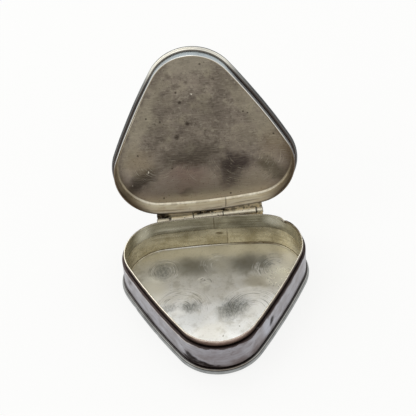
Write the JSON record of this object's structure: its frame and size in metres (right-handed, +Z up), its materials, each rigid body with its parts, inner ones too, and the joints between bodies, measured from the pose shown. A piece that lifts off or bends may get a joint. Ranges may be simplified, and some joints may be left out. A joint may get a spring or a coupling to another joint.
{
  "type": "pill box",
  "caption": "Small silver pill box with a rounded-triangle plan, a reeded foot wire, an inner bezel and a lid hinged behind its straight side, standing open.",
  "frame": {"origin": "on the table, under the middle of the base's flat underside", "axes": "+Z up; +Y from the front corner to the straight back side, where the hinge is; +X along the back, to the right as seen from the front corner. The lid stands open on its stop."},
  "size_m": [0.0457, 0.0592, 0.0496],
  "materials": {
    "base_floor_silver": "satin silver with faint swirl finishing marks",
    "base_wall_silver": "worn satin silver with tarnish smudges",
    "bezel_silver": "dark tarnished silver with a bright worn rim",
    "wire_silver": "polished silver with grime in the grooves",
    "bearer_silver": "tarnished silver",
    "knuckle_silver": "bright worn silver",
    "pin_silver": "plain silver wire",
    "lid_plate_silver": "mottled brown-grey tarnish on satin silver",
    "lid_wall_silver": "warm satin silver"
  },
  "bodies": {
    "base": {"base_plate": "base_floor_silver", "base_wall": "base_wall_silver", "base_bezel": "bezel_silver", "base_moulding": "wire_silver", "base_hinge_bearer": "bearer_silver", "base_knuckle_left": "knuckle_silver", "base_knuckle_centre": "knuckle_silver", "base_knuckle_right": "knuckle_silver", "hinge_pin": "pin_silver"},
    "lid": {"lid_plate": "lid_plate_silver", "lid_wall": "lid_wall_silver", "lid_moulding": "wire_silver", "lid_hinge_bearer": "bearer_silver", "lid_knuckle_left": "knuckle_silver", "lid_knuckle_right": "knuckle_silver"}
  },
  "joints": [
    {"name": "lid_hinge", "type": "hinge", "parent": "base", "child": "lid", "pos_m": [0, 0.02195, 0.00875], "axis": [0.9987, 0.0187, 0.048], "range_deg": [0, 105.7]}
  ]
}
